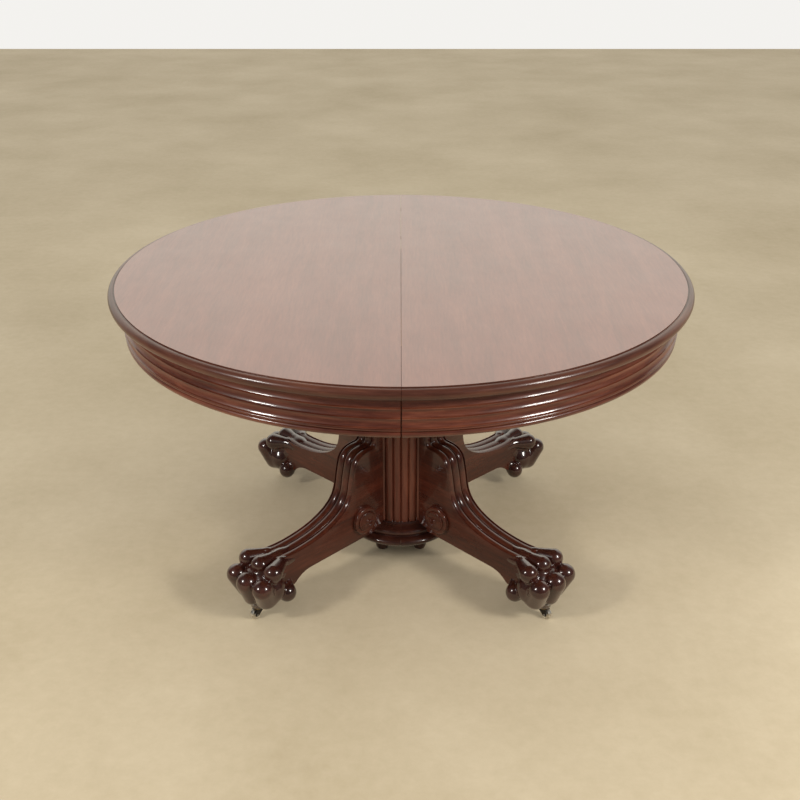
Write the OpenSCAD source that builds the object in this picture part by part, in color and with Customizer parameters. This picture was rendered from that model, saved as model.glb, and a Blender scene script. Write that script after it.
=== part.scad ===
// Round dining table on a split pedestal, opening along its middle seam.
// Origin: on the floor under the centre of the top. X is the way the halves
// slide apart, the seam lies along Y, Z is up. Millimetres.

/* [Table] */
// Diameter of the round top over its moulded edge
top_d = 1372; // [1360:1:1380]
// Height of the top above the floor
table_h = 762; // [750:1:775]
// Thickness of the top
top_t = 25; // [24:0.5:26]
// Gap between the two halves when the table is closed
seam = 0.8; // [0.6:0.1:1.6]
// How far the right half draws away from the left half
opening = 1220; // [600:10:1220]

/* [Apron] */
// Height of the moulded apron below the top
apron_h = 92; // [92:1:104]
// How far the top overhangs the apron
overhang = 29; // [26:1:34]
// Thickness of the apron ring
apron_t = 32; // [28:1:34]

/* [Pedestal] */
// Radius of the reeded column over its reeds
column_r = 106; // [104:1:108]
// Number of reeds round the whole column
reeds = 32; // [24:8:40]
// Radius of the hollow inside the column
column_bore = 72; // [66:1:74]
// Radius of the pedestal base at its widest
base_r = 147; // [144:1:150]

/* [Legs] */
// Thickness of the slab legs
leg_t = 70; // [66:1:72]
// Distance of each foot from the table's axis
foot_s = 495; // [485:1:505]
// Radius of a rosette
rosette_r = 39; // [36:1:42]

/* [Hardware] */
// Radius of a caster wheel
wheel_r = 13; // [12:0.5:14]
// Radius of the leg bolts
bolt_r = 5; // [4:0.5:6]

/* [Hidden] */
$fn = 96;

mahogany = [0.34, 0.13, 0.09];
top_tone = [0.42, 0.22, 0.17];
maple = [0.72, 0.55, 0.36];
steel = [0.55, 0.55, 0.57];
brass = [0.66, 0.53, 0.28];
tiny = 0.01;

// Places of the legs, as turns about the axis from +X
FRONT_LEFT = 225;
FRONT_RIGHT = 315;
BACK_LEFT = 135;
BACK_RIGHT = 45;

function legs_of(side) = side < 0 ? [FRONT_LEFT, BACK_LEFT] : [FRONT_RIGHT, BACK_RIGHT];

top_r = top_d / 2;
top_under = table_h - top_t;
apron_r = top_r - overhang;
apron_in = apron_r - apron_t;
nose_r = top_t / 2;

// Slides: three rails side by side at the front and three at the back
rail_w = 38;
rail_h = 60;
rail_gap = 1;
rail_pitch = rail_w + rail_gap;
rail_inner_y = 120;
rail_pad = 1;
rail_top = top_under - rail_pad;
rail_foot = rail_top - rail_h;
rail_far = 500;
rail_near = 400;
key_h = 16;
key_d = 8;
key_play = 0.3;
key_len = 270;
pad_l = 60;
stop_r = 4;

// Bearers on top of the pedestal halves
bearer_t = 34;
bearer_x0 = 45;
bearer_l = 150;
bearer_w = 510;
relief = 0.5;
bearer_foot = rail_foot - bearer_t;
batten_w = 80;
batten_t = 30;
batten_l = 2 * (rail_inner_y + 2 * rail_pitch);

// Column, base and centre leg
base_top = 118;
base_foot = 61;
base_bore = 42;
reed_r = 0.826 * PI * column_r / reeds;
centre_leg_r = 30;
floor_gap = 1;
glide_h = 6;

// Legs: distances s from the axis along the leg, and heights z
leg_s0 = 92;
leg_foot = 98;
leg_end_s = 440;
groove_w = 3;
groove_d = 4;
side_reed = 21.5;
rosette_s = 164;
rosette_z = 150;
bolt_heights = [210, 560];
leg_screw_s = 134;

// Casters: the stem stands inside the foot, the wheel trails outwards
stem_s = foot_s - 10;
stem_r = 4;
stem_top = 66;
socket_r = 7;
fork_top = 29;
paw_foot = 31;
wheel_w = 13;
axle_r = 2;
running = 0.05;

// Catches under the top, across the seam
catch_y = 480;
catch_pivot_x = 40;
keeper_x = -25;
keeper_r = 4;
lever_l = catch_pivot_x - keeper_x;

function arc(c, r, a0, a1, n) =
    [for (i = [0:n]) let (a = a0 + (a1 - a0) * i / n)
        [c[0] + r * cos(a), c[1] + r * sin(a)]];

function curve(p, n) =
    [for (i = [1:n]) let (t = i / n, u = 1 - t)
        u * u * u * p[0] + 3 * u * u * t * p[1] + 3 * u * t * t * p[2] + t * t * t * p[3]];

// One apron band: a hollow that sweeps out to a crisp edge at its foot
function band(z1, z0, r_in, r_out, n = 7) =
    [for (i = [0:n]) let (u = i / n)
        [r_in + (r_out - r_in) * (1 - sqrt(1 - u * u)), z1 + (z0 - z1) * u]];

apron_outline = concat(
    [[apron_in, top_under]],
    band(top_under, top_under - 29, apron_r - 8, apron_r),
    band(top_under - 29, top_under - 50, apron_r - 8, apron_r),
    band(top_under - 50, top_under - 71, apron_r - 7, apron_r),
    arc([apron_r - 4.5, top_under - 74.5], 3, 80, -80, 6),
    arc([apron_r - 8, top_under - 84.5], 6.5, 75, -90, 8),
    [[apron_r - 12, top_under - apron_h], [apron_in, top_under - apron_h]]
);

base_outline = concat(
    [[base_bore, base_foot], [base_r - 22, base_foot]],
    curve([[base_r - 22, base_foot], [base_r - 6, base_foot + 2],
           [base_r + 4, base_foot + 14], [base_r - 2, base_foot + 20]], 8),
    curve([[base_r - 2, base_foot + 20], [base_r - 4, base_foot + 23],
           [base_r - 9, base_foot + 26], [base_r - 13, base_foot + 26.5]], 4),
    [[base_r - 18, base_foot + 28]],
    arc([base_r - 21, base_foot + 38], 8.5, -65, 75, 8),
    curve([[base_r - 19.5, base_foot + 46.5], [base_r - 27, base_foot + 47],
           [column_r + 3, base_foot + 50], [column_r + 1.5, base_top]], 6),
    [[base_bore, base_top]]
);

leg_outline = concat(
    [[leg_s0, leg_foot], [base_r + 5, leg_foot], [345, leg_foot - 6]],
    curve([[345, leg_foot - 6], [368, leg_foot - 7], [384, 82], [398, 66]], 5),
    [[leg_end_s, 66], [leg_end_s, 158]],
    curve([[leg_end_s, 158], [420, 154], [400, 152], [380, 153]], 5),
    curve([[380, 153], [358, 154], [336, 156], [312, 161]], 4),
    curve([[312, 161], [280, 168], [250, 180], [232, 195]], 6),
    curve([[232, 195], [213, 209], [206, 228], [203, 248]], 6),
    curve([[203, 248], [200, 268], [196, 290], [190, 308]], 5),
    curve([[190, 308], [180, 332], [160, 336], [134, 336]], 7),
    curve([[134, 336], [124, 336], [120, 340], [120, 350]], 4),
    [[120, 440]],
    curve([[120, 440], [120, 540], [140, bearer_foot - 42], [178, bearer_foot]], 8),
    [[leg_s0, bearer_foot]]
);

// side is -1 for the left half and +1 for the right half
module half(side) {
    intersection() {
        children();
        translate([side > 0 ? seam / 2 : -top_d, -top_d, -1])
            cube([top_d - seam / 2, 2 * top_d, table_h + 2]);
    }
}

// Turns what lies along +X, with its height up, to a leg's place
module at_leg(turn) {
    rotate([0, 0, turn]) children();
}

// A flat outline in (s, z) made into a plate between two depths across the leg
module plate(points, t0, t1) {
    rotate([90, 0, 0])
        translate([0, 0, t0])
            linear_extrude(t1 - t0) polygon(points);
}

module screw(r, len, head_r, head_h) {
    translate([0, 0, -head_h]) {
        cylinder(r = r, h = len + head_h);
        cylinder(r = head_r, h = head_h);
    }
}

/* ---- top and apron ---- */

dowel_ys = [-560, -290, 0, 290, 560];
dowel_r = 4;
dowel_l = 30;
dowel_z = table_h - 13;

module dowel_holes(r, l) {
    for (y = dowel_ys)
        translate([-l / 2, y, dowel_z]) rotate([0, 90, 0]) cylinder(r = r, h = l);
}

module top_half(side) {
    quirk_r = top_r - 14;
    quirk_w = 2.6;
    quirk_d = 2.5;
    color(top_tone)
    difference() {
        half(side) {
            rotate_extrude() difference() {
                union() {
                    translate([0, top_under]) square([top_r - nose_r, top_t]);
                    translate([top_r - nose_r, top_under + nose_r]) circle(r = nose_r);
                }
                translate([quirk_r - quirk_w, table_h - quirk_d]) square([quirk_w, 2 * quirk_d]);
            }
        }
        dowel_holes(side < 0 ? dowel_r : dowel_r + 0.3, dowel_l + 2);
        top_screw_places(side) cylinder(r = 2.5, h = 70);
        catch_screw_holes(side);
    }
}

// Holes for the screws of the catches
module catch_screw_holes(side) {
    for (end = [-1, 1])
        for (dx = [10, 62])
            translate([side * dx, end * catch_y - 12, top_under - tiny])
                cylinder(r = 1.6, h = 12);
}

module apron_half(side) {
    color(mahogany) half(side) rotate_extrude() polygon(apron_outline);
}

module glue_blocks(side) {
    block_turn = 6;
    block_w = 28;
    color(maple)
    for (a = [22.5:22.5:157.5])
        rotate([0, 0, a - side * 90 - block_turn / 2])
            rotate_extrude(angle = block_turn)
                translate([apron_in - block_w, top_under - block_w]) square([block_w, block_w]);
}

module alignment_dowels() {
    color(maple) dowel_holes(dowel_r, dowel_l);
}

/* ---- slides ---- */

// rank 0 is nearest the middle; end is -1 at the front, +1 at the back
module rail_at(rank, end) {
    y = end * (rail_inner_y + rail_w / 2 + rank * rail_pitch);
    translate([0, y, rail_foot]) children();
}

// The left rails lie inside at the front and outside at the back
function rail_rank(side, end) = side * end > 0 ? 0 : 2;

// Which way the middle rail lies from a moving rail
function key_way(side, end) = rail_rank(side, end) == 0 ? end : -end;

pad_xs = [470, 300, 130];

module rail(side, end) {
    way = key_way(side, end);
    x0 = side < 0 ? -rail_far : -rail_near;
    key_x = side < 0 ? rail_near - key_len : -rail_near;
    rail_at(rail_rank(side, end), end) difference() {
        union() {
            translate([x0, -rail_w / 2, 0]) cube([rail_far + rail_near, rail_w, rail_h]);
            for (x = pad_xs)
                translate([side * x - pad_l / 2, -rail_w / 2, rail_h - tiny])
                    cube([pad_l, rail_w, rail_pad + tiny]);
            translate([key_x, way > 0 ? rail_w / 2 - tiny : -rail_w / 2 - key_d, (rail_h - key_h) / 2])
                cube([key_len, key_d + tiny, key_h]);
        }
        for (x = pad_xs) translate([side * x, 0, -tiny]) {
            cylinder(r = 2.8, h = rail_h + 2 * rail_pad);
            cylinder(r = 6, h = 14);
        }
        for (x = bearer_screw_xs) translate([side * x, 0, -tiny]) cylinder(r = 2.5, h = 32);
    }
}

module slide_rails(side) {
    color(maple) for (end = [-1, 1]) rail(side, end);
}

module slide_rails_centre() {
    groove_h = key_h + 2 * key_play;
    groove_deep = key_d - rail_gap + 1;
    color(maple)
    for (end = [-1, 1]) rail_at(1, end) difference() {
        translate([-rail_far, -rail_w / 2, 0]) cube([2 * rail_far, rail_w, rail_h]);
        for (way = [-1, 1])
            translate([-rail_far - 1, way * rail_w / 2 - groove_deep, (rail_h - groove_h) / 2])
                cube([2 * rail_far + 2, 2 * groove_deep, groove_h]);
        stop_pin_places() cylinder(r = stop_r, h = rail_h - 5);
        for (x = [-20, 20]) translate([x, 0, -tiny]) cylinder(r = 2.5, h = 20);
    }
}

// One pin in each groove, just past where the key ends at full opening
module stop_pin_places() {
    pin_x = opening / 2 - (rail_near - key_len) + stop_r + key_play;
    for (way = [-1, 1])
        translate([-way * pin_x, way * (rail_w / 2 - stop_r - 1), 5]) children();
}

module slide_stop_pins() {
    color(maple) for (end = [-1, 1]) rail_at(1, end)
        stop_pin_places() cylinder(r = stop_r - tiny, h = rail_h - 5);
}

module centre_batten() {
    z0 = rail_foot - batten_t;
    color(maple) difference() {
        translate([-batten_w / 2, -batten_l / 2, z0]) cube([batten_w, batten_l, batten_t]);
        for (end = [-1, 1]) for (rank = [0, 2])
            rail_at(rank, end) translate([-batten_w, -rail_pitch / 2, -relief])
                cube([2 * batten_w, rail_pitch + 1, 2 * relief]);
        translate([-batten_w, -rail_inner_y, rail_foot - relief])
            cube([2 * batten_w, 2 * rail_inner_y, 2 * relief]);
        batten_screw_places() translate([0, 0, -tiny]) cylinder(r = 2.6, h = 40);
        translate([0, 0, z0 - tiny]) cylinder(r = 12, h = batten_t - 8);
    }
}

module batten_screw_places() {
    for (end = [-1, 1]) for (x = [-20, 20])
        translate([x, end * (rail_inner_y + rail_w / 2 + rail_pitch), rail_foot - batten_t]) children();
}

module batten_screws() {
    color(steel) batten_screw_places() screw(2.5, batten_t + 18, 5, 3);
}

// Turned post that stays under the middle when the halves draw apart
module centre_leg() {
    z0 = floor_gap + glide_h;
    neck_z = rail_foot - batten_t;
    color(mahogany) rotate_extrude() polygon(concat(
        [[0, z0], [centre_leg_r - 10, z0]],
        curve([[centre_leg_r - 10, z0], [centre_leg_r - 2, z0 + 8],
               [centre_leg_r, z0 + 30], [centre_leg_r - 4, z0 + 60]], 6),
        [[centre_leg_r, z0 + 64], [centre_leg_r, neck_z],
         [11.8, neck_z], [11.8, neck_z + batten_t - 10], [0, neck_z + batten_t - 10]]
    ));
}

module centre_leg_glide() {
    color(steel) translate([0, 0, floor_gap]) {
        cylinder(r1 = 10, r2 = 15, h = 3);
        translate([0, 0, 3]) cylinder(r = 15, h = glide_h - 3);
    }
}

module top_screw_places(side) {
    for (end = [-1, 1]) rail_at(rail_rank(side, end), end)
        for (x = pad_xs) translate([side * x, 0, 14]) children();
}

module top_screws(side) {
    color(steel) top_screw_places(side) screw(2.5, rail_h - 14 + rail_pad + 16, 5, 3);
}

/* ---- pedestal ---- */

bearer_screw_xs = [80, 160];

module bearer(side) {
    color(maple) difference() {
        translate([side > 0 ? bearer_x0 : -bearer_x0 - bearer_l, -bearer_w / 2, bearer_foot])
            cube([bearer_l, bearer_w, bearer_t]);
        difference() {
            translate([-300, -bearer_w, rail_foot - relief]) cube([600, 2 * bearer_w, 1]);
            for (end = [-1, 1]) rail_at(rail_rank(side, end), end)
                translate([-300, -rail_w / 2, -2]) cube([600, rail_w, 4]);
        }
        bearer_screw_places(side) translate([0, 0, -tiny]) {
            cylinder(r = 2.6, h = bearer_t + 1);
            cylinder(r = 6, h = 8);
        }
        for (turn = legs_of(side)) leg_screw_place(turn) {
            cylinder(r = 2.6, h = bearer_t + 1);
            translate([0, 0, bearer_t - 8]) cylinder(r = 6, h = 9);
        }
    }
}

module bearer_screw_places(side) {
    for (end = [-1, 1]) rail_at(rail_rank(side, end), end)
        for (x = bearer_screw_xs) translate([side * x, 0, -bearer_t]) children();
}

// Screws down through the bearer into the head of each leg
module leg_screw_place(turn) {
    at_leg(turn) translate([leg_screw_s, 0, bearer_foot]) children();
}

module bearer_screws(side) {
    color(steel) {
        bearer_screw_places(side) translate([0, 0, 8]) screw(2.5, bearer_t - 8 + 28, 5, 3);
        for (turn = legs_of(side)) leg_screw_place(turn) translate([0, 0, bearer_t - 8])
            rotate([180, 0, 0]) screw(2.5, bearer_t - 8 + 40, 5, 3);
    }
}

module leg_slots(side) {
    for (turn = legs_of(side))
        at_leg(turn) translate([leg_s0, -leg_t / 2, leg_foot])
            cube([base_r, leg_t, table_h]);
}

module bolt_places(turn) {
    for (z = bolt_heights)
        at_leg(turn) translate([column_bore + 4, 0, z]) rotate([0, 90, 0]) children();
}

module column_half(side) {
    h = bearer_foot - base_top;
    color(mahogany) difference() {
        intersection() {
            translate([side > 0 ? seam / 2 : -base_r, -base_r, base_top])
                cube([base_r - seam / 2, 2 * base_r, h]);
            translate([0, 0, base_top - 10]) union() {
                cylinder(r = column_r - reed_r + 1.3, h = h + 30);
                for (i = [0:reeds - 1])
                    rotate([0, 0, (i + 0.5) * 360 / reeds])
                        translate([column_r - reed_r, 0, -5])
                            cylinder(r = reed_r, h = h + 40, $fn = 32);
            }
        }
        translate([0, 0, base_top - 1]) cylinder(r = column_bore, h = table_h);
        leg_slots(side);
        for (turn = legs_of(side)) bolt_places(turn) {
            cylinder(r = bolt_r + 0.3, h = 60);
            translate([0, 0, -30]) cylinder(r = 13, h = 30);
        }
    }
}

module base_half(side) {
    color(mahogany) difference() {
        half(side) rotate_extrude() polygon(base_outline);
        leg_slots(side);
    }
}

module bun_feet(side) {
    bun_r = 18;
    bun_x = 45;
    color(mahogany) for (end = [-1, 1])
        translate([side * bun_x, end * (bun_x - 5), 0]) rotate_extrude() polygon(concat(
            [[0, floor_gap], [bun_r - 8, floor_gap]],
            curve([[bun_r - 8, floor_gap], [bun_r + 2.5, floor_gap + 5],
                   [bun_r + 2.5, 34], [bun_r - 9, 42]], 9),
            [[bun_r - 9, 46], [bun_r - 3, 50], [bun_r - 3, base_foot], [0, base_foot]]
        ));
}

module leg_bolts(side) {
    bolt_l = 62;
    color(steel) for (turn = legs_of(side)) bolt_places(turn) {
        translate([0, 0, -2]) difference() {
            cylinder(r = 11, h = 2);
            translate([0, 0, -1]) cylinder(r = bolt_r + 0.2, h = 4);
        }
        translate([0, 0, -9]) cylinder(r = 8, h = 6.9, $fn = 6);
        translate([0, 0, -3]) cylinder(r = bolt_r, h = bolt_l + 3);
    }
}

/* ---- legs ---- */

module leg_edge_groove(t0) {
    plate([for (p = leg_outline) [p[0] - groove_d, p[1] - groove_d]], t0, t0 + groove_w + 2 * tiny);
}

module leg(turn) {
    g = leg_t / 2 - side_reed - groove_w;
    color(mahogany) difference() {
        at_leg(turn) union() {
            plate(leg_outline, -leg_t / 2, -g - groove_w);
            plate(leg_outline, -g, g);
            plate(leg_outline, g + groove_w, leg_t / 2);
            intersection() {
                plate(leg_outline, -leg_t / 2 + 1, leg_t / 2 - 1);
                for (t0 = [-g - groove_w - tiny, g - tiny]) leg_edge_groove(t0);
            }
        }
        bolt_places(turn) cylinder(r = bolt_r + running, h = 63);
        leg_screw_place(turn) translate([0, 0, -41]) cylinder(r = 2.5, h = 42);
    }
}

// The foot: three knuckles over three toes, a pad below and two heel balls
module paw(turn) {
    knuckle_r = 24;
    toe_r = 27;
    spread = 48;
    color(mahogany) at_leg(turn) difference() {
        union() {
            for (k = [-1, 0, 1]) {
                translate([466, k * (spread - 2), k == 0 ? 140 : 136]) sphere(r = knuckle_r);
                translate([k == 0 ? 512 : 506, k * spread, 102]) sphere(r = toe_r);
                translate([493, k * 34, 66]) sphere(r = toe_r);
            }
            for (k = [-1, 1]) translate([424, k * 34, 52]) sphere(r = 23);
            for (k = [-1, 1]) translate([446, k * 26, 96]) sphere(r = 33);
            translate([470, 0, 92]) sphere(r = 46);
            translate([470, 0, paw_foot]) cylinder(r = 40, h = 50);
        }
        translate([0, -leg_t / 2, 66]) cube([leg_end_s, leg_t, 200]);
        translate([300, -100, -1]) cube([400, 200, paw_foot + 1]);
        translate([stem_s, 0, 0]) cylinder(r = socket_r, h = stem_top + 4);
    }
}

module rosettes(turn) {
    color(mahogany) at_leg(turn) for (way = [-1, 1])
        translate([rosette_s, way * leg_t / 2, rosette_z]) rotate([-way * 90, 0, 0])
            rotate_extrude() polygon(concat(
                [[0, 0], [rosette_r, 0], [rosette_r, 8]],
                arc([rosette_r - 4, 8], 4, 0, 90, 4),
                arc([rosette_r - 14, 12], 3, 0, 110, 5),
                [[12, 17], [7, 17.4]],
                arc([0, 12.4], 7.4, 45, 90, 4)
            ));
}

/* ---- casters ---- */

module caster_socket(turn) {
    color(brass) at_leg(turn) translate([stem_s, 0, 0]) difference() {
        union() {
            translate([0, 0, fork_top + 0.4]) cylinder(r = 14, h = paw_foot - fork_top - 0.4);
            translate([0, 0, fork_top + 0.4]) cylinder(r = socket_r - tiny, h = stem_top + 3 - fork_top);
        }
        translate([0, 0, fork_top - 1]) cylinder(r = stem_r + running, h = stem_top + 1 - fork_top + 1);
    }
}

module caster_fork(turn) {
    cheek_t = 2;
    cheek_y = wheel_w / 2 + 0.5;
    cheek = [[stem_s - 9, fork_top - 1], [stem_s - 9, fork_top - 6],
             [foot_s - 4, wheel_r - 4], [foot_s + 4, wheel_r - 4],
             [foot_s + 5, wheel_r + 2], [stem_s + 10, fork_top - 1]];
    color(brass) at_leg(turn) difference() {
        union() {
            translate([stem_s, 0, fork_top - 2]) cylinder(r = stem_r, h = stem_top - fork_top + 2);
            translate([stem_s, 0, fork_top - 2]) cylinder(r = 12, h = 2);
            for (way = [-1, 1])
                plate(cheek, way > 0 ? cheek_y : -cheek_y - cheek_t,
                      way > 0 ? cheek_y + cheek_t : -cheek_y);
        }
        translate([foot_s, 20, wheel_r]) rotate([90, 0, 0]) cylinder(r = axle_r, h = 40);
    }
}

module caster_axle(turn) {
    color(steel) at_leg(turn) translate([foot_s, (wheel_w + 8) / 2, wheel_r])
        rotate([90, 0, 0]) cylinder(r = axle_r, h = wheel_w + 8);
}

module caster_wheel(turn) {
    color(steel) at_leg(turn) translate([foot_s, 0, wheel_r]) rotate([90, 0, 0])
        rotate_extrude() polygon([
            [axle_r + running, -wheel_w / 2], [5, -wheel_w / 2], [6, -wheel_w / 2 + 1.5],
            [wheel_r - 3, -wheel_w / 2 + 1.5], [wheel_r - 1, -wheel_w / 2 + 1.2],
            [wheel_r, -wheel_w / 2 + 3], [wheel_r, wheel_w / 2 - 3],
            [wheel_r - 1, wheel_w / 2 - 1.2], [wheel_r - 3, wheel_w / 2 - 1.5],
            [6, wheel_w / 2 - 1.5], [5, wheel_w / 2], [axle_r + running, wheel_w / 2]
        ]);
}

/* ---- catches across the seam ---- */

plate_t = 2;
lever_z = top_under - 8;

module catch_plate(x0, x1) {
    difference() {
        translate([x0, -16, top_under - plate_t]) cube([x1 - x0, 32, plate_t]);
        for (x = [x0 + 4, x1 - 4])
            translate([x, -12, top_under - 2 * plate_t]) cylinder(r = 1.6, h = 3 * plate_t);
    }
}

module catch_keepers() {
    color(brass) for (end = [-1, 1]) translate([0, end * catch_y, 0]) {
        catch_plate(-66, -6);
        translate([keeper_x, 0, top_under - 12]) cylinder(r = keeper_r, h = 12 - plate_t + tiny);
    }
}

module catch_plates() {
    color(brass) for (end = [-1, 1]) translate([0, end * catch_y, 0]) {
        catch_plate(6, 66);
        translate([catch_pivot_x, 0, top_under - 10]) cylinder(r = 3, h = 10 - plate_t + tiny);
        translate([catch_pivot_x, 0, top_under - 12]) cylinder(r = 6, h = 2 + tiny);
    }
}

// The lever lies back along the seam at rest; a quarter turn hooks it
module catch_lever(end) {
    lever_t = 3;
    color(brass) translate([catch_pivot_x, end * catch_y, lever_z - 1.8]) rotate([0, 0, -90])
    difference() {
        union() {
            translate([-lever_l - 12, -9, 0]) cube([lever_l + 12, 18, lever_t]);
            cylinder(r = 11, h = lever_t);
        }
        translate([0, 0, -1]) cylinder(r = 3 + running, h = 5);
        translate([-lever_l, 0, -1]) cylinder(r = keeper_r + 0.5, h = 5);
        translate([-lever_l - keeper_r - 0.5, -20, -1]) cube([2 * keeper_r + 1, 20, 5]);
    }
}

top_half(-1);  // top_left
top_half(1);  // top_right
apron_half(-1);  // apron_left
apron_half(1);  // apron_right
glue_blocks(-1);  // glue_blocks_left
glue_blocks(1);  // glue_blocks_right
alignment_dowels();
slide_rails(-1);  // slide_rails_left
slide_rails(1);  // slide_rails_right
slide_rails_centre();
slide_stop_pins();
centre_batten();
batten_screws();
centre_leg();
centre_leg_glide();
top_screws(-1);  // top_screws_left
top_screws(1);  // top_screws_right
bearer(-1);  // bearer_left
bearer(1);  // bearer_right
bearer_screws(-1);  // bearer_screws_left
bearer_screws(1);  // bearer_screws_right
column_half(-1);  // column_left
column_half(1);  // column_right
base_half(-1);  // base_left
base_half(1);  // base_right
bun_feet(-1);  // bun_feet_left
bun_feet(1);  // bun_feet_right
leg_bolts(-1);  // leg_bolts_left
leg_bolts(1);  // leg_bolts_right
leg(FRONT_LEFT);  // leg_front_left
leg(FRONT_RIGHT);  // leg_front_right
leg(BACK_LEFT);  // leg_back_left
leg(BACK_RIGHT);  // leg_back_right
paw(FRONT_LEFT);  // paw_front_left
paw(FRONT_RIGHT);  // paw_front_right
paw(BACK_LEFT);  // paw_back_left
paw(BACK_RIGHT);  // paw_back_right
rosettes(FRONT_LEFT);  // rosettes_front_left
rosettes(FRONT_RIGHT);  // rosettes_front_right
rosettes(BACK_LEFT);  // rosettes_back_left
rosettes(BACK_RIGHT);  // rosettes_back_right
union() {  // caster_sockets_left
    caster_socket(FRONT_LEFT);
    caster_socket(BACK_LEFT);
}
union() {  // caster_sockets_right
    caster_socket(FRONT_RIGHT);
    caster_socket(BACK_RIGHT);
}
caster_fork(FRONT_LEFT);  // caster_fork_front_left
caster_fork(FRONT_RIGHT);  // caster_fork_front_right
caster_fork(BACK_LEFT);  // caster_fork_back_left
caster_fork(BACK_RIGHT);  // caster_fork_back_right
caster_axle(FRONT_LEFT);  // caster_axle_front_left
caster_axle(FRONT_RIGHT);  // caster_axle_front_right
caster_axle(BACK_LEFT);  // caster_axle_back_left
caster_axle(BACK_RIGHT);  // caster_axle_back_right
caster_wheel(FRONT_LEFT);  // caster_wheel_front_left
caster_wheel(FRONT_RIGHT);  // caster_wheel_front_right
caster_wheel(BACK_LEFT);  // caster_wheel_back_left
caster_wheel(BACK_RIGHT);  // caster_wheel_back_right
catch_keepers();
catch_plates();
catch_lever(-1);  // catch_lever_front
catch_lever(1);  // catch_lever_back
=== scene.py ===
"""Looks of the round split-pedestal dining table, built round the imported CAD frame. Metres."""
import math

import bpy
import numpy as np
from mathutils import Matrix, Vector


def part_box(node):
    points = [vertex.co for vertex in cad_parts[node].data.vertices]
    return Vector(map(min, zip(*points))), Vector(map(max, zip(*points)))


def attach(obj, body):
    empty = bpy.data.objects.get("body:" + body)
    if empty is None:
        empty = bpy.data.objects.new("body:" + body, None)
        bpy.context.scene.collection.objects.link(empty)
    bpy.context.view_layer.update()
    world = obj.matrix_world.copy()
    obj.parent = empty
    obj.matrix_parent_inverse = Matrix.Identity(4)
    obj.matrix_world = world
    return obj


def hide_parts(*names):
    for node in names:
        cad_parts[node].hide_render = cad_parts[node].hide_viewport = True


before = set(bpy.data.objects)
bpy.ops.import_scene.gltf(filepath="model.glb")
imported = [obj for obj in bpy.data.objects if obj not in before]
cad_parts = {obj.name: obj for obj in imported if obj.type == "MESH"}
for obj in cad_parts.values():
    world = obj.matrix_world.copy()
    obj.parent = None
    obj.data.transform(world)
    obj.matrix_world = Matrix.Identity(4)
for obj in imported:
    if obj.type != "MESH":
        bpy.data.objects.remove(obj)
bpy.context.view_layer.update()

LEGS = {"front_left": 225, "front_right": 315, "back_left": 135, "back_right": 45}
SIDES = {"left": -1, "right": 1}
MM = 0.001


def side_of(place):
    return "left" if "left" in place else "right"


def body_for(place):
    return side_of(place) + "_half"


# ---- sizes: the outer ones are read from the frame, the rest are the object's own ----

def high(node, axis):
    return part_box(node)[1][axis]


def low(node, axis):
    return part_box(node)[0][axis]


TOP_R = high("top_right", 0)
TOP_Z = high("top_right", 2)
TOP_FOOT = low("top_right", 2)
SEAM = low("top_right", 0)
APRON_R = high("apron_right", 0)
APRON_FOOT = low("apron_right", 2)
COLUMN_R = high("column_right", 1)
COLUMN_TOP = high("column_right", 2)
COLUMN_FOOT = low("column_right", 2)
BASE_R = high("base_right", 0)
BASE_FOOT = low("base_right", 2)
LEG_TOP = high("leg_back_right", 2)
LEG_T = 70 * MM
COLUMN_BORE = 72 * MM
APRON_T = 32 * MM
APRON_GAP = 1.4 * MM
REEDS = 32
ROSETTE_PLACE = (168 * MM, 150 * MM)
BUN_PLACE = (49 * MM, 41 * MM)
# Width of the rim band whose wood is painted darker as shade on the nosing.
PAINTED_SHADE_NOSING_WIDTH = 16.5 * MM
LEG_INNER = 92.0
LEG_FOOT = 98.0

# ---- light levels: the room all round, and what shiny faces mirror ----
AMBIENT = 0.9
ROOM_GLOW = 0.10
BACK_GLOW_LOW = 0.92
BACK_GLOW_HIGH = 1.45


# ---- mesh helpers ----

def make_mesh(name, verts, faces, sharp=32):
    """A mesh with smooth shading that keeps edges over the angle sharp."""
    mesh = bpy.data.meshes.new(name)
    mesh.from_pydata([tuple(v) for v in verts], [], [tuple(f) for f in faces])
    mesh.validate()
    mesh.update()
    mesh.shade_smooth()
    mesh.set_sharp_from_angle(angle=math.radians(sharp))
    return mesh


def place(name, mesh, body, slot, nodes=(), turn=0.0, at=(0, 0, 0)):
    """Puts a mesh in the scene, rides it on its body and hides the CAD nodes it stands for."""
    piece = bpy.data.objects.new(name, mesh)
    bpy.context.scene.collection.objects.link(piece)
    piece.location = at
    piece.rotation_euler = (0, 0, math.radians(turn))
    bpy.context.view_layer.update()
    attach(piece, body)
    if nodes:
        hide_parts(*nodes)
    return piece


def bevel(piece, width, segments=2, angle=40):
    mod = piece.modifiers.new("edge_rounding", "BEVEL")
    mod.width = width
    mod.segments = segments
    mod.limit_method = "ANGLE"
    mod.angle_limit = math.radians(angle)
    mod.harden_normals = False
    mod.miter_outer = "MITER_ARC"
    return mod


def curve(p, n, first=False):
    """Points along a cubic curve through its four control points."""
    t = np.linspace(0, 1, n + 1)[0 if first else 1:, None]
    p = np.array(p, float)
    u = 1 - t
    return u**3 * p[0] + 3 * u * u * t * p[1] + 3 * u * t * t * p[2] + t**3 * p[3]


def arc(centre, r, a0, a1, n):
    a = np.radians(np.linspace(a0, a1, n + 1))
    return np.column_stack([centre[0] + r * np.cos(a), centre[1] + r * np.sin(a)])


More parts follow.
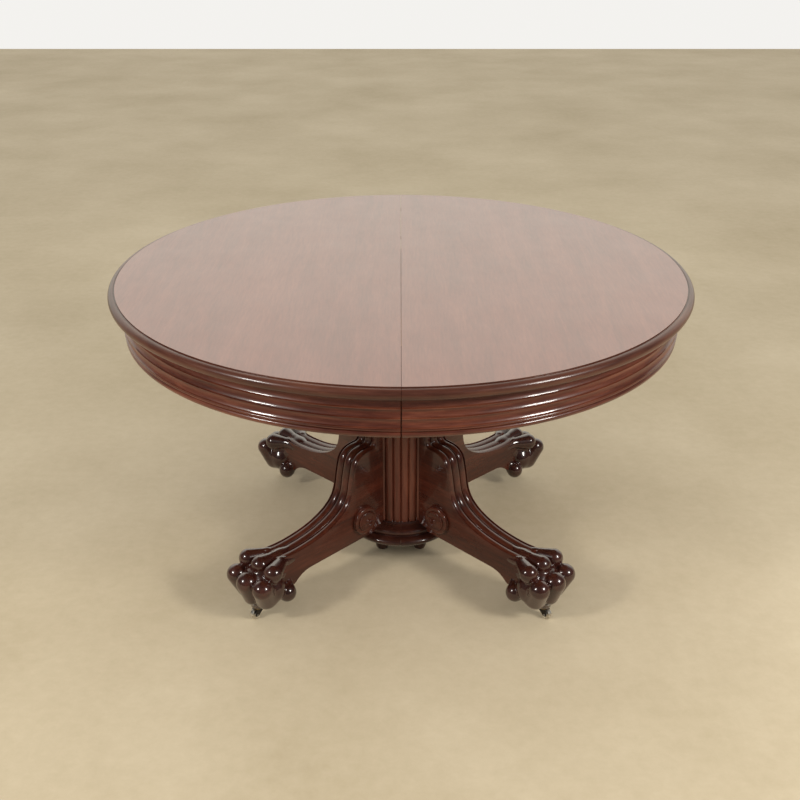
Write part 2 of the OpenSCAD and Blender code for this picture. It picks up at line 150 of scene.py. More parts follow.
def lathe(profile, a0=0.0, a1=360.0, steps=96, clip=None):
    """A closed solid turned from a closed (r, z) outline, whole or with capped ends."""
    profile = np.array(profile, float)
    whole = abs(a1 - a0 - 360) < 1e-6
    angles = np.radians(np.linspace(a0, a1, steps + 1)[: steps if whole else steps + 1])
    m = len(profile)
    verts = np.array([[r * math.cos(a), r * math.sin(a), z] for a in angles for r, z in profile])
    if clip is not None:
        near = np.abs(verts[:, 0]) < abs(clip)
        verts[near, 0] = clip
    faces = []
    rows = len(angles)
    for i in range(rows if whole else rows - 1):
        j = (i + 1) % rows
        for k in range(m):
            n = (k + 1) % m
            faces.append((i * m + k, j * m + k, j * m + n, i * m + n))
    if not whole:
        faces.append(tuple(range(m)))
        faces.append(tuple(reversed(range((rows - 1) * m, rows * m))))
    return verts, [tuple(reversed(f)) for f in faces]


def turned(name, profile, steps=96, sharp=32):
    """A turned solid whose (r, z) outline starts and ends on the axis."""
    inner = np.array(profile, float)[1:-1]
    angles = np.radians(np.arange(steps) * 360 / steps)
    m = len(inner)
    verts = [[r * math.cos(a), r * math.sin(a), z] for a in angles for r, z in inner]
    faces = []
    for i in range(steps):
        j = (i + 1) % steps
        for k in range(m - 1):
            faces.append((i * m + k, j * m + k, j * m + k + 1, i * m + k + 1))
    faces.append(tuple(i * m for i in reversed(range(steps))))
    faces.append(tuple(i * m + m - 1 for i in range(steps)))
    return make_mesh(name, verts, faces, sharp)


# ---- materials ----

class Nodes:
    """A small helper that adds and wires shader nodes."""

    def __init__(self, name):
        self.material = bpy.data.materials.new(name)
        self.material.use_nodes = True
        self.tree = self.material.node_tree
        self.tree.nodes.clear()
        self.out = self.add("ShaderNodeOutputMaterial")
        self.shader = self.add("ShaderNodeBsdfPrincipled")
        self.link(self.shader.outputs[0], self.out.inputs["Surface"])

    def add(self, kind, **settings):
        node = self.tree.nodes.new(kind)
        for key, value in settings.items():
            setattr(node, key, value)
        return node

    def link(self, a, b):
        self.tree.links.new(a, b)

    def set(self, socket, value):
        self.shader.inputs[socket].default_value = value

    def math(self, operation, a, b=None):
        node = self.add("ShaderNodeMath", operation=operation)
        for socket, value in zip(node.inputs, (a, b)):
            if value is None:
                continue
            if isinstance(value, (int, float)):
                socket.default_value = value
            else:
                self.link(value, socket)
        return node.outputs[0]

    def noise(self, vector, scale, detail=4.0, rough=0.55, distort=0.0):
        node = self.add("ShaderNodeTexNoise")
        node.inputs["Scale"].default_value = scale
        node.inputs["Detail"].default_value = detail
        node.inputs["Roughness"].default_value = rough
        node.inputs["Distortion"].default_value = distort
        self.link(vector, node.inputs["Vector"])
        return node.outputs["Fac"]

    def ramp(self, value, stops):
        node = self.add("ShaderNodeValToRGB")
        ramp = node.color_ramp
        while len(ramp.elements) < len(stops):
            ramp.elements.new(0.5)
        for element, (at, colour) in zip(ramp.elements, stops):
            element.position = at
            element.color = (*colour, 1.0) if len(colour) == 3 else colour
        self.link(value, node.inputs["Fac"])
        return node.outputs["Color"]

    def mix(self, fac, a, b, kind="MIX"):
        node = self.add("ShaderNodeMix", data_type="RGBA", blend_type=kind)
        for socket, value in ((node.inputs["Factor"], fac), (node.inputs["A"], a), (node.inputs["B"], b)):
            if isinstance(value, (int, float)):
                socket.default_value = value
            elif isinstance(value, tuple):
                socket.default_value = (*value, 1.0)
            else:
                self.link(value, socket)
        return node.outputs["Result"]

    def object_space(self, scale=(1, 1, 1), turn=(0, 0, 0)):
        coords = self.add("ShaderNodeTexCoord")
        mapping = self.add("ShaderNodeMapping")
        mapping.inputs["Scale"].default_value = scale
        mapping.inputs["Rotation"].default_value = turn
        self.link(coords.outputs["Object"], mapping.inputs["Vector"])
        return mapping.outputs["Vector"]

    def round_space(self, scale):
        """Coordinates that run round the Z axis, out from it and up it."""
        coords = self.add("ShaderNodeTexCoord")
        split = self.add("ShaderNodeSeparateXYZ")
        self.link(coords.outputs["Object"], split.inputs[0])
        x, y, z = split.outputs
        turn = self.math("ARCTAN2", y, x)
        out = self.math("SQRT", self.math("ADD", self.math("MULTIPLY", x, x), self.math("MULTIPLY", y, y)))
        join = self.add("ShaderNodeCombineXYZ")
        for socket, value, factor in zip(join.inputs, (turn, out, z), scale):
            self.link(self.math("MULTIPLY", value, factor), socket)
        return join.outputs[0]

    def bump(self, height, strength, distance):
        node = self.add("ShaderNodeBump")
        node.inputs["Strength"].default_value = strength
        node.inputs["Distance"].default_value = distance
        self.link(height, node.inputs["Height"])
        self.link(node.outputs["Normal"], self.shader.inputs["Normal"])
        return node


def wood(name, dark, mid, light, grain, around=False, gloss=0.28, coat=0.5, coat_rough=0.1,
         figure=1.0, specular=0.5, turn=(0, 0, 0)):
    """Polished wood: long streaks, broad figure, fine pores and a clear finish.

    grain is how far the streaks are squeezed along each axis of the piece."""
    n = Nodes(name)
    space = n.round_space(grain) if around else n.object_space(grain, turn)
    broad = n.noise(space, 3.0, 3.0, 0.5, 0.6)
    streak = n.noise(space, 22.0, 6.0, 0.62, 0.25)
    pore = n.noise(space, 150.0, 2.0, 0.7)
    tone = n.math("ADD", n.math("MULTIPLY", broad, 0.55 * figure), n.math("MULTIPLY", streak, 0.45))
    tone = n.math("ADD", tone, 0.5 - 0.5 * (0.55 * figure + 0.45))
    colour = n.ramp(tone, [(0.36, dark), (0.52, mid), (0.68, light)])
    pores = n.ramp(pore, [(0.30, (0.55, 0.5, 0.48)), (0.42, (1, 1, 1))])
    colour = n.mix(0.55, colour, pores, "MULTIPLY")
    n.link(colour, n.shader.inputs["Base Color"])
    patch = n.noise(n.object_space((1, 1, 1)), 9.0, 3.0, 0.6)
    rough = n.math("ADD", n.math("MULTIPLY", patch, 0.12), gloss - 0.06)
    n.link(n.math("ADD", rough, n.math("MULTIPLY", pore, 0.05)), n.shader.inputs["Roughness"])
    n.set("Specular IOR Level", specular)
    n.set("Coat Weight", coat)
    n.set("Coat Roughness", coat_rough)
    relief = n.math("ADD", n.math("MULTIPLY", pore, 0.5), n.math("MULTIPLY", streak, 0.5))
    n.bump(relief, 0.18, 0.0003)
    return n.material


def metal(name, colour, tarnish, rough, metallic=1.0, scale=60.0):
    """Old metal: a base colour broken by tarnish, with fine scratches."""
    n = Nodes(name)
    space = n.object_space()
    patch = n.noise(space, scale, 5.0, 0.65)
    mottled = n.ramp(patch, [(0.38, tarnish), (0.62, colour)])
    n.link(mottled, n.shader.inputs["Base Color"])
    n.link(n.math("ADD", n.math("MULTIPLY", patch, 0.25), rough - 0.1), n.shader.inputs["Roughness"])
    n.set("Metallic", metallic)
    n.bump(n.noise(space, scale * 6, 3.0, 0.6), 0.2, 0.0002)
    return n.material


TOP_WOOD = wood("top_wood", (0.110, 0.026, 0.015), (0.150, 0.040, 0.024), (0.190, 0.058, 0.034),
                (9, 0.9, 9), gloss=0.34, coat=0.9, coat_rough=0.18, figure=0.8)
APRON_WOOD = wood("apron_wood", (0.050, 0.010, 0.005), (0.110, 0.028, 0.014), (0.190, 0.060, 0.030),
                  (0.5, 8, 9), around=True, gloss=0.30, coat=0.6, coat_rough=0.07, specular=0.3)
# A darker copy of the top wood for the rolled nosing: painted shade.
NOSING_PAINTED_SHADE_WOOD = wood("nosing_painted_shade_wood", (0.034, 0.009, 0.005), (0.068, 0.020, 0.011), (0.110, 0.038, 0.020),
                 (0.5, 8, 9), around=True, gloss=0.30, coat=0.35, coat_rough=0.12, specular=0.3)
COLUMN_WOOD = wood("column_wood", (0.042, 0.010, 0.005), (0.080, 0.020, 0.011), (0.125, 0.036, 0.019),
                   (9, 9, 0.9), gloss=0.30, coat=0.35, coat_rough=0.10, specular=0.25)
# Much darker than the column wood, standing for the deep shade low under the table and pedestal: painted
# shade.
BASE_PAINTED_SHADE_WOOD = wood("base_painted_shade_wood", (0.014, 0.004, 0.003), (0.030, 0.008, 0.005), (0.052, 0.016, 0.010),
                 (0.5, 9, 9), around=True, gloss=0.26, coat=0.6, coat_rough=0.08, specular=0.25)
LEG_WOOD = wood("leg_wood", (0.026, 0.006, 0.004), (0.053, 0.012, 0.006), (0.092, 0.022, 0.012),
                (0.9, 9, 9), gloss=0.26, coat=0.45, coat_rough=0.07, specular=0.22, turn=(0, 0.5, 0))
CARVED_WOOD = wood("carved_wood", (0.018, 0.004, 0.003), (0.034, 0.008, 0.005), (0.056, 0.014, 0.009),
                   (2, 9, 9), gloss=0.24, coat=0.9, coat_rough=0.09, specular=0.35)
MAPLE = wood("slide_maple", (0.34, 0.21, 0.11), (0.46, 0.31, 0.17), (0.58, 0.42, 0.26),
             (0.7, 9, 9), gloss=0.55, coat=0.0, specular=0.3)
STEEL = metal("fastener_steel", (0.50, 0.50, 0.50), (0.28, 0.26, 0.24), 0.35)
WHEEL = metal("worn_wheel_steel", (0.86, 0.84, 0.80), (0.50, 0.46, 0.40), 0.28, scale=110.0)
BRASS = metal("aged_brass", (0.50, 0.38, 0.17), (0.22, 0.14, 0.06), 0.38)
IRON = metal("caster_iron", (0.060, 0.050, 0.045), (0.022, 0.017, 0.014), 0.42, metallic=0.8)


# ---- top ----

def top_outline():
    """Flat field, a thin quirk, and a nosing that rolls out and under."""
    z = TOP_Z
    quirk_r = TOP_R - 13.4 * MM
    field = [[r, z] for r in (0.0, 0.15, 0.3, 0.45, 0.58, 0.65)]
    quirk = [[quirk_r - 2.8 * MM, z], [quirk_r - 2.3 * MM, z - 0.5 * MM],
             [quirk_r - 2.0 * MM, z - 2.6 * MM], [quirk_r - 0.4 * MM, z - 3.0 * MM]]
    nose = np.concatenate([
        curve([[quirk_r, z - 2.4 * MM], [quirk_r + 4 * MM, z - 1.0 * MM],
               [TOP_R, z - 5 * MM], [TOP_R, z - 14 * MM]], 12, first=True),
        curve([[TOP_R, z - 14 * MM], [TOP_R, z - 19 * MM],
               [TOP_R - 3 * MM, z - 22.5 * MM], [TOP_R - 7 * MM, z - 24 * MM]], 7)])
    under = [[TOP_R - 9 * MM, TOP_FOOT], [0.6, TOP_FOOT], [0.3, TOP_FOOT], [0.0, TOP_FOOT]]
    return np.concatenate([field, quirk, nose, under])


def half_turn(side):
    return (-90, 90) if side > 0 else (90, 270)


def build_tops():
    for place_name, side in SIDES.items():
        a0, a1 = half_turn(side)
        verts, faces = lathe(top_outline(), a0, a1, 216, clip=side * abs(SEAM))
        piece = place("tabletop_" + place_name, make_mesh("tabletop_" + place_name, verts, faces, 25),
                      body_for(place_name), "top_mahogany", ["top_" + place_name])
        piece.data.materials.append(TOP_WOOD)
        piece.data.materials.append(NOSING_PAINTED_SHADE_WOOD)
        # Faces within the rim band take the darker nosing wood, which is painted shade on the rolled edge.
        for face in piece.data.polygons:
            if math.hypot(face.center.x, face.center.y) > TOP_R - PAINTED_SHADE_NOSING_WIDTH:
                face.material_index = 1


# ---- apron ----

def band(z1, z0, r_in, r_out, n=14):
    """One hollow band that sweeps out to a crisp edge at its foot."""
    u = np.linspace(0, 1, n + 1)
    r = r_in + (r_out - r_in) * (1 - np.sqrt(1 - u * u))
    return np.column_stack([r, z1 + (z0 - z1) * u])


def apron_outline():
    z = TOP_FOOT
    r = APRON_R
    lip = 1.2 * MM
    bands = []
    for top, foot, inset in ((0, 29, 8), (29, 50, 8), (50, 71, 7)):
        bands.append(band(z - top * MM, z - foot * MM + lip, r - inset * MM, r))
        bands.append([[r, z - foot * MM + 0.3 * MM], [r - 0.5 * MM, z - foot * MM]])
    bead = np.concatenate([arc([r - 4.5 * MM, z - 74.5 * MM], 3 * MM, 80, -80, 8),
                           arc([r - 8 * MM, z - 84.5 * MM], 6.5 * MM, 76, -88, 12)])
    foot_line = [[r - 12 * MM, APRON_FOOT], [r - APRON_T, APRON_FOOT], [r - APRON_T, z]]
    return np.concatenate(bands + [bead, foot_line])


def build_aprons():
    for place_name, side in SIDES.items():
        a0, a1 = half_turn(side)
        verts, faces = lathe(apron_outline(), a0, a1, 216, clip=side * APRON_GAP)
        piece = place("moulded_apron_" + place_name,
                      make_mesh("moulded_apron_" + place_name, verts, faces, 25),
                      body_for(place_name), "apron_mahogany", ["apron_" + place_name])
        piece.data.materials.append(APRON_WOOD)


# ---- column and base ----

def reed_outline(per_reed=14):
    """Outer line of half the column: full round reeds with a narrow groove between."""
    reed_a = 360 / REEDS
    groove_r = COLUMN_R - 5 * MM
    reed_h = COLUMN_R - groove_r
    points = []
    for i in range(REEDS // 2):
        for k in range(per_reed):
            u = -0.95 + 1.9 * k / (per_reed - 1)
            r = groove_r + reed_h * math.sqrt(max(0.0, 1 - abs(u / 0.96) ** 2.2))
            points.append((r, math.radians(-90 + (i + 0.5 + u / 2) * reed_a)))
        points.append((groove_r - 0.6 * MM, math.radians(-90 + (i + 1) * reed_a)))
    return points[:-1]


def build_column():
    outer = reed_outline()
    inner = [(COLUMN_BORE, math.radians(a)) for a in np.linspace(90, -90, 37)]
    ring = [(r * math.cos(a), r * math.sin(a)) for r, a in outer + inner]
    levels = [COLUMN_FOOT, COLUMN_FOOT + 0.12, COLUMN_FOOT + 0.3, COLUMN_TOP]
    n = len(ring)
    for place_name, side in SIDES.items():
        verts = [(side * max(x, abs(SEAM)), y, z) for z in levels for x, y in ring]
        faces = [(i * n + k, i * n + (k + 1) % n, (i + 1) * n + (k + 1) % n, (i + 1) * n + k)
                 for i in range(len(levels) - 1) for k in range(n)]
        faces.append(tuple(reversed(range(n))))
        faces.append(tuple(range((len(levels) - 1) * n, len(levels) * n)))
        if side < 0:
            faces = [tuple(reversed(f)) for f in faces]
        piece = place("reeded_column_" + place_name,
                      make_mesh("reeded_column_" + place_name, verts, faces, 40),
                      body_for(place_name), "pedestal_mahogany", ["column_" + place_name])
        piece.data.materials.append(COLUMN_WOOD)


def base_outline():
    """From the foot up: a wide flare, a quirk, a full bead and a cove to the column."""
    z0 = BASE_FOOT
    r = BASE_R
    hole = 42 * MM
    parts = [
        [[42, 0], [-22, 0]],
        curve([[-22, 0], [-6, 2], [4, 14], [-2, 20]], 14),
        curve([[-2, 20], [-4, 23], [-9, 26], [-13, 26.5]], 7),
        [[-14.4, 26.9], [-17.6, 27.2], [-18.2, 28.2]],
        arc([-21, 38], 8.5, -66, 76, 16),
        [[-20.6, 46.4], [-21.4, 46.9]],
        curve([[-21.4, 46.9], [-28, 47.4], [-38, 50], [-39.5, 57]], 10),
        [[42, 57]],
    ]
    points = np.concatenate([np.array(x, float) for x in parts]) * MM
    points[:, 0] += r
    points[:, 1] += z0
    points[0, 0] = points[-1, 0] = hole
    return points


def build_base():
    for place_name, side in SIDES.items():
        a0, a1 = half_turn(side)
        verts, faces = lathe(base_outline(), a0, a1, 96, clip=side * abs(SEAM))
        piece = place("moulded_base_" + place_name,
                      make_mesh("moulded_base_" + place_name, verts, faces, 30),
                      body_for(place_name), "pedestal_mahogany", ["base_" + place_name])
        piece.data.materials.append(BASE_PAINTED_SHADE_WOOD)


# ---- legs, in (s, z) millimetres along the leg ----

def leg_edge():
    """The moulded outer edge, from under the bearer down to the foot."""
    top = LEG_TOP / MM
    parts = [
        curve([[178, top], [140, top - 42], [120, 540], [120, 440]], 18, first=True),
        curve([[120, 440], [120, 410], [120, 380], [120, 352]], 5),
        curve([[120, 352], [120, 341], [124, 336], [134, 336]], 6),
        curve([[134, 336], [160, 336], [180, 332], [190, 308]], 14),
        curve([[190, 308], [196, 290], [200, 268], [203, 248]], 8),
        curve([[203, 248], [206, 228], [213, 209], [232, 195]], 9),
        curve([[232, 195], [250, 180], [280, 168], [312, 161]], 10),
        curve([[312, 161], [336, 156], [358, 154], [380, 153]], 7),
        curve([[380, 153], [400, 152], [420, 154], [438, 156]], 6),
    ]
    return np.concatenate(parts)


def edge_section():
    """Depth below the outer edge across the leg: arris, side reed, groove, middle reed."""
    half = LEG_T / MM / 2
    pts = [(-half, 1.6), (-half + 0.4, 0.7), (-half + 1.4, 0.5), (-half + 2.2, 1.1), (-half + 2.6, 4.6)]
    for a in np.linspace(170, 10, 11):
        pts.append((-half + 12.4 + 9.4 * math.cos(math.radians(a)), 5.4 - 4.9 * math.sin(math.radians(a))))
    pts += [(-half + 22.2, 5.0), (-half + 22.6, 2.6), (-half + 23.4, 2.4), (-half + 23.8, 5.2)]
    for a in np.linspace(168, 90, 8):
        pts.append((10.8 * math.cos(math.radians(a)), 5.6 - 5.6 * math.sin(math.radians(a))))
    mirrored = [(-t, d) for t, d in reversed(pts[:-1])]
    return np.array(pts + mirrored)


def leg_mesh():
    edge = leg_edge()
    tangent = np.gradient(edge, axis=0)
    tangent /= np.linalg.norm(tangent, axis=1)[:, None]
    normal = np.column_stack([-tangent[:, 1], tangent[:, 0]])
    if normal[40] @ np.array([1, 0.3]) < 0:
        normal = -normal
    section = edge_section()
    m = len(section)
    n = len(edge)
    back = np.concatenate([
        [[LEG_INNER, z] for z in np.linspace(LEG_TOP / MM, LEG_FOOT, 60)[:-1]],
        np.linspace([LEG_INNER, LEG_FOOT], [345, 92], 22),
        curve([[345, 92], [368, 91], [384, 82], [398, 66]], 8),
        [[438, 66]],
    ])
    at_edge = np.concatenate([[0], np.cumsum(np.linalg.norm(np.diff(edge, axis=0), axis=1))])
    at_back = np.concatenate([[0], np.cumsum(np.linalg.norm(np.diff(back, axis=0), axis=1))])
    share = at_edge / at_edge[-1] * at_back[-1]
    inner = np.column_stack([np.interp(share, at_back, back[:, i]) for i in range(2)])
    inner[-1] = back[-1]
    corner = int(np.argmin(np.linalg.norm(inner - [LEG_INNER, LEG_FOOT], axis=1)))
    inner[corner] = [LEG_INNER, LEG_FOOT]
    verts = []
    for i in range(n):
        for t, d in section:
            p = edge[i] - normal[i] * d
            p[1] = min(p[1], LEG_TOP / MM)
            verts.append((p[0], t, p[1]))
        half = LEG_T / MM / 2
        verts.append((inner[i][0], half, inner[i][1]))
        verts.append((inner[i][0], -half, inner[i][1]))
    ring = m + 2
    faces = [(i * ring + k, (i + 1) * ring + k, (i + 1) * ring + (k + 1) % ring, i * ring + (k + 1) % ring)
             for i in range(n - 1) for k in range(ring)]
    faces.append(tuple(range(ring)))
    faces.append(tuple(reversed(range((n - 1) * ring, n * ring))))
    return make_mesh("reeded_leg", np.array(verts) * MM, faces, 38)


def build_legs():
    mesh = leg_mesh()
    mesh.materials.append(LEG_WOOD)
    for place_name, turn in LEGS.items():
        place("reeded_leg_" + place_name, mesh, body_for(place_name), "pedestal_mahogany",
              ["leg_" + place_name], turn)


# ---- carved feet ----

def surface_net(field, low_corner, step):
    """A smooth closed mesh of where a 3-D field changes sign."""
    inside = field < 0
    corners = [(i, j, k) for i in (0, 1) for j in (0, 1) for k in (0, 1)]
    nx, ny, nz = (np.array(field.shape) - 1)

    def at(values, c):
        return values[c[0]:c[0] + nx, c[1]:c[1] + ny, c[2]:c[2] + nz]

    total = np.zeros((nx, ny, nz, 3))
    count = np.zeros((nx, ny, nz))
    for a in corners:
        for axis in range(3):
            if a[axis]:
                continue
            b = tuple(c + (1 if i == axis else 0) for i, c in enumerate(a))
            fa, fb = at(field, a), at(field, b)
            cross = at(inside, a) != at(inside, b)
            t = np.where(cross, fa / np.where(cross, fa - fb, 1), 0)
            for i in range(3):
                total[..., i] += cross * (a[i] + (t if i == axis else 0))
            count += cross
    used = count > 0
    index = -np.ones(used.shape, int)
    index[used] = np.arange(used.sum())
    cells = np.argwhere(used)
    verts = (cells + total[used] / count[used][:, None]) * step + low_corner
    faces = []
    for axis in range(3):
        u, v = (axis + 1) % 3, (axis + 2) % 3
        here = np.moveaxis(inside, axis, 0)
        change = np.moveaxis(here[:-1] != here[1:], 0, axis)
        for c in np.argwhere(change):
            if c[u] == 0 or c[v] == 0 or c[u] > used.shape[u] - 1 or c[v] > used.shape[v] - 1:
                continue
            quad = []
            for du, dv in ((-1, -1), (0, -1), (0, 0), (-1, 0)):
                q = c.copy()
                q[u] += du
                q[v] += dv
                quad.append(index[tuple(q)])
            faces.append(quad if inside[tuple(c)] else quad[::-1])
    return verts, faces


def ball(p, centre, radii, tilt=0.0):
    """Rounded distance to an ellipsoid, tilted in the (s, z) plane."""
    q = p - np.array(centre, float)
    a = math.radians(tilt)
    c, s = math.cos(a), math.sin(a)
    q = np.stack([c * q[..., 0] + s * q[..., 2], q[..., 1], -s * q[..., 0] + c * q[..., 2]], -1)
    r = np.array(radii, float)
    k0 = np.linalg.norm(q / r, axis=-1)
    k1 = np.linalg.norm(q / (r * r), axis=-1)
    return k0 * (k0 - 1) / np.maximum(k1, 1e-6)


def rod(p, a, b, ra, rb):
    """Distance to a tapering rod with round ends."""
    a, b = np.array(a, float), np.array(b, float)
    ab = b - a
    h = np.clip(((p - a) @ ab) / (ab @ ab), 0, 1)
    return np.linalg.norm(p - a - h[..., None] * ab, axis=-1) - (ra + (rb - ra) * h)


def blend(a, b, k):
    """Smooth union of two fields over a width k."""
    h = np.clip(0.5 + 0.5 * (b - a) / k, 0, 1)
    return b + (a - b) * h - k * h * (1 - h)


def paw_field(p):
    """Three jointed toes, a pad narrowing to the caster and two balls at the heel."""
    mirror = p.copy()
    mirror[..., 1] = np.abs(p[..., 1])
    ankle = ball(p, (414, 0, 112), (46, 35, 44), -12)
    palm = ball(p, (470, 0, 98), (42, 52, 42))
    body = blend(ankle, palm, 22)
    neck = rod(p, (482, 0, 62), (485, 0, 30), 32, 16)
    body = blend(body, neck, 12)
    middle = blend(rod(p, (368, 0, 141), (432, 0, 143), 11, 14),
                   rod(p, (432, 0, 143), (471, 0, 141), 14, 23), 4)
    side = blend(rod(mirror, (366, 20, 132), (430, 27, 141), 10, 14.5),
                 rod(mirror, (430, 27, 141), (470, 47, 138), 14.5, 23), 4)
    cheek = ball(mirror, (462, 30, 82), (32, 29, 34))
    side = blend(side, cheek, 14)
    tip = rod(p, (512, 0, 110), (497, 0, 69), 26.5, 25)
    side_tip = rod(mirror, (505, 48, 109), (486, 35, 70), 25, 26.5)
    side_tip = blend(side_tip, cheek, 12)
    heel = ball(mirror, (426, 39, 60), (22.5, 22.5, 23.5))
    heel = blend(heel, rod(mirror, (420, 28, 72), (404, 16, 96), 17, 12), 8)
    upper = blend(middle, side, 1.8)
    lower = blend(tip, side_tip, 1.8)
    whole = blend(body, upper, 5.0)
    whole = blend(whole, lower, 2.6)
    whole = blend(whole, heel, 2.6)
    return np.maximum(whole, 31.0 - p[..., 2])


def paw_mesh(step=1.7):
    lo = np.array([366.0, -82.0, 24.0])
    hi = np.array([548.0, 82.0, 176.0])
    axes = [np.arange(a, b, step) for a, b in zip(lo, hi)]
    grid = np.stack(np.meshgrid(*axes, indexing="ij"), -1)
    verts, faces = surface_net(paw_field(grid), lo, step)
    return make_mesh("carved_paw", np.array(verts) * MM, faces, 70)


def build_paws():
    mesh = paw_mesh(1.7)
    mesh.materials.append(CARVED_WOOD)
    for place_name, turn in LEGS.items():
        place("carved_paw_" + place_name, mesh, body_for(place_name), "pedestal_mahogany",
              ["paw_" + place_name], turn)


# ---- rosettes and bun feet ----

def rosette_outline():
    r = 36.5
    parts = [
        [[0, 0], [r, 0], [r, 4.6], [r - 0.8, 5.4], [r - 0.8, 6.4]],
        arc([r - 3.6, 8.6], 3.6, -10, 100, 8),
        [[27.0, 12.0], [26.1, 11.2], [25.9, 12.4]],
        arc([23.1, 12.6], 2.8, 10, 120, 7),
        curve([[21.5, 14.6], [17.0, 14.9], [12.0, 15.4], [7.0, 16.4]], 9),
        [[6.6, 15.8], [6.3, 16.6]],
        arc([0, 12.4], 7.4, 36, 88, 7),
        [[0, 19.8]],
    ]
    return np.concatenate([np.array(x, float) for x in parts]) * MM


def build_rosettes():
    mesh = turned("turned_rosette", rosette_outline(), 72, 40)
    mesh.materials.append(LEG_WOOD)
    for place_name, turn in LEGS.items():
        for k, way in enumerate((-1, 1)):
            a = math.radians(turn)
            s, t = ROSETTE_PLACE[0], way * LEG_T / 2
            at = (s * math.cos(a) - t * math.sin(a), s * math.sin(a) + t * math.cos(a), ROSETTE_PLACE[1])
            piece = bpy.data.objects.new(f"turned_rosette_{place_name}_{k}", mesh)
            bpy.context.scene.collection.objects.link(piece)
            piece.matrix_world = (Matrix.Translation(at) @ Matrix.Rotation(a, 4, "Z")
                                  @ Matrix.Rotation(-way * math.pi / 2, 4, "X"))
            bpy.context.view_layer.update()
            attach(piece, body_for(place_name))
            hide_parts("rosettes_" + place_name)


def bun_outline():
    parts = [
        [[0, 1], [12, 1]],
        curve([[12, 1], [20.5, 6], [20.5, 34], [10, 42]], 16),
        [[10, 45]],
        arc([11.5, 48], 3.4, -110, 90, 8),
        [[14.5, 52.5], [15, 61], [0, 61]],
    ]
    return np.concatenate([np.array(x, float) for x in parts]) * MM


def build_bun_feet():
    mesh = turned("bun_foot", bun_outline(), 48, 40)
    # The bun feet share the base's darkened wood, which is painted shade.
    mesh.materials.append(BASE_PAINTED_SHADE_WOOD)
    for place_name, side in SIDES.items():
        for k, end in enumerate((-1, 1)):
            place(f"bun_foot_{place_name}_{k}", mesh, body_for(place_name), "pedestal_mahogany",
                  ["bun_feet_" + place_name], at=(side * BUN_PLACE[0], end * BUN_PLACE[1], 0))


# ---- CAD nodes that keep their shape ----

KEPT = {
    "slide_": (MAPLE, 0.8), "bearer_left": (MAPLE, 1.2), "bearer_right": (MAPLE, 1.2),
    "bearer_screws": (STEEL, 0.3), "centre_batten": (MAPLE, 1.2), "batten_screws": (STEEL, 0.3),
    "glue_blocks": (MAPLE, 0.6), "alignment_dowels": (MAPLE, 0.5), "top_screws": (STEEL, 0.3),
    "centre_leg_glide": (STEEL, 0.5), "centre_leg": (COLUMN_WOOD, 0.5), "leg_bolts": (STEEL, 0.4),
    "caster_sockets": (BRASS, 0.4), "caster_fork": (IRON, 0.5), "caster_axle": (STEEL, 0.3),
    "caster_wheel": (WHEEL, 0.4), "catch_": (BRASS, 0.4),
}


def dress_cad_nodes():
    for name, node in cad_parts.items():
        matches = [key for key in KEPT if name.startswith(key)]
        if not matches:
            continue
        material, width = KEPT[max(matches, key=len)]
        node.data.materials.clear()
        node.data.materials.append(material)
        for slot in node.material_slots:
            slot.material = material
        bevel(node, width * MM)


# ---- stage ----

def build_stage():
    mesh = bpy.data.meshes.new("floor")
    size = 9.0
    corners = [(-size, -size, 0), (size, -size, 0), (size, size, 0), (-size, size, 0)]
    mesh.from_pydata(corners, [], [(0, 1, 2, 3)])
    floor = bpy.data.objects.new("floor", mesh)
    bpy.context.scene.collection.objects.link(floor)
    n = Nodes("studio_floor")
    space = n.object_space()
    cloud = n.noise(space, 1.3, 5.0, 0.6)
    fine = n.noise(space, 30.0, 6.0, 0.7)
    tone = n.math("ADD", n.math("MULTIPLY", cloud, 0.7), n.math("MULTIPLY", fine, 0.3))
    colour = n.ramp(tone, [(0.3, (0.42, 0.345, 0.225)), (0.7, (0.56, 0.475, 0.335))])
    n.link(colour, n.shader.inputs["Base Color"])
    n.set("Roughness", 0.75)
    n.set("Specular IOR Level", 0.2)
    mesh.materials.append(n.material)


def area_light(name, at, aim, size, power, colour=(1, 1, 1), height=None):
    light = bpy.data.lights.new(name, "AREA")
    light.shape = "RECTANGLE" if height else "SQUARE"
    light.size = size
    if height:
        light.size_y = height
    light.energy = power
    light.color = colour
    lamp = bpy.data.objects.new(name, light)
    bpy.context.scene.collection.objects.link(lamp)
    lamp.location = at
    way = np.array(aim, float) - np.array(at, float)
    flat = math.hypot(way[0], way[1])
    lamp.rotation_euler = (math.atan2(flat, -way[2]), 0, math.atan2(way[1], way[0]) - math.pi / 2)
    lamp.visible_camera = False


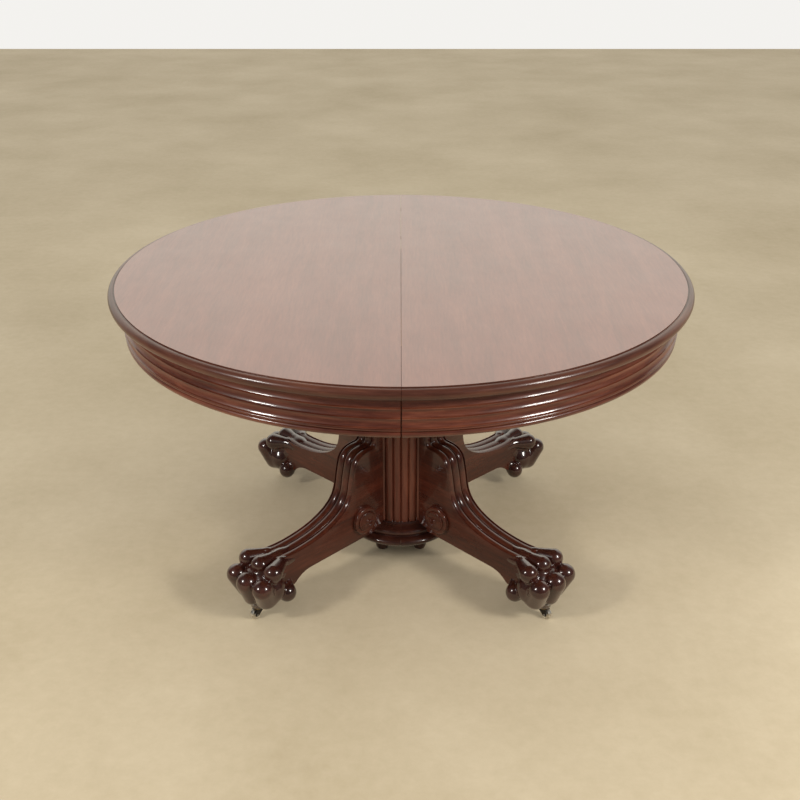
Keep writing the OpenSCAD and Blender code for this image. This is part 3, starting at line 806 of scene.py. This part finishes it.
def build_light():
    world = bpy.data.worlds.new("studio")
    bpy.context.scene.world = world
    world.use_nodes = True
    tree = world.node_tree
    sky = tree.nodes["Background"]
    way = tree.nodes.new("ShaderNodeTexCoord")
    split = tree.nodes.new("ShaderNodeSeparateXYZ")
    tree.links.new(way.outputs["Generated"], split.inputs[0])

    def spread(socket, low_in, high_in, low_out, high_out):
        node = tree.nodes.new("ShaderNodeMapRange")
        node.interpolation_type = "SMOOTHSTEP"
        ends = (("From Min", low_in), ("From Max", high_in), ("To Min", low_out), ("To Max", high_out))
        for name, value in ends:
            node.inputs[name].default_value = value
        tree.links.new(socket, node.inputs["Value"])
        return node.outputs[0]

    def combine(operation, a, b):
        node = tree.nodes.new("ShaderNodeMath")
        node.operation = operation
        for socket, value in zip(node.inputs, (a, b)):
            if isinstance(value, float):
                socket.default_value = value
            else:
                tree.links.new(value, socket)
        return node.outputs[0]

    back = spread(split.outputs["Y"], 0.25, 0.8, 0.0, 1.0)
    rise = spread(split.outputs["Z"], 0.15, 0.45, BACK_GLOW_LOW, BACK_GLOW_HIGH)
    mirrored = combine("ADD", combine("MULTIPLY", back, rise), ROOM_GLOW)
    path = tree.nodes.new("ShaderNodeLightPath")
    shiny = path.outputs["Is Glossy Ray"]
    plain = combine("MULTIPLY", combine("SUBTRACT", 1.0, shiny), AMBIENT)
    strength = combine("ADD", combine("MULTIPLY", shiny, mirrored), plain)
    tree.links.new(strength, sky.inputs["Strength"])
    tint = tree.nodes.new("ShaderNodeMix")
    tint.data_type = "RGBA"
    tint.inputs["A"].default_value = (1.0, 0.985, 0.955, 1)
    tint.inputs["B"].default_value = (0.97, 0.93, 0.82, 1)
    tree.links.new(shiny, tint.inputs["Factor"])
    tree.links.new(tint.outputs["Result"], sky.inputs["Color"])
    area_light("key_left", (-2.7, -2.1, 2.3), (0, 0, 0.3), 0.55, 60, (1, 0.97, 0.92))
    area_light("key_right", (2.7, -2.1, 2.3), (0, 0, 0.3), 0.75, 80, (1, 0.97, 0.92))


def build_camera():
    camera = bpy.data.cameras.new("camera")
    camera.lens = 49.9
    camera.sensor_width = 36.0
    eye = bpy.data.objects.new("camera", camera)
    bpy.context.scene.collection.objects.link(eye)
    eye.location = (-0.0024, -2.532, 1.627)
    eye.rotation_euler = (math.radians(64.4), 0, 0)
    bpy.context.scene.camera = eye
    bpy.context.scene.view_settings.view_transform = "Standard"


build_tops()
build_aprons()
build_column()
build_base()
build_legs()
build_paws()
build_rosettes()
build_bun_feet()
dress_cad_nodes()
build_stage()
build_light()
build_camera()
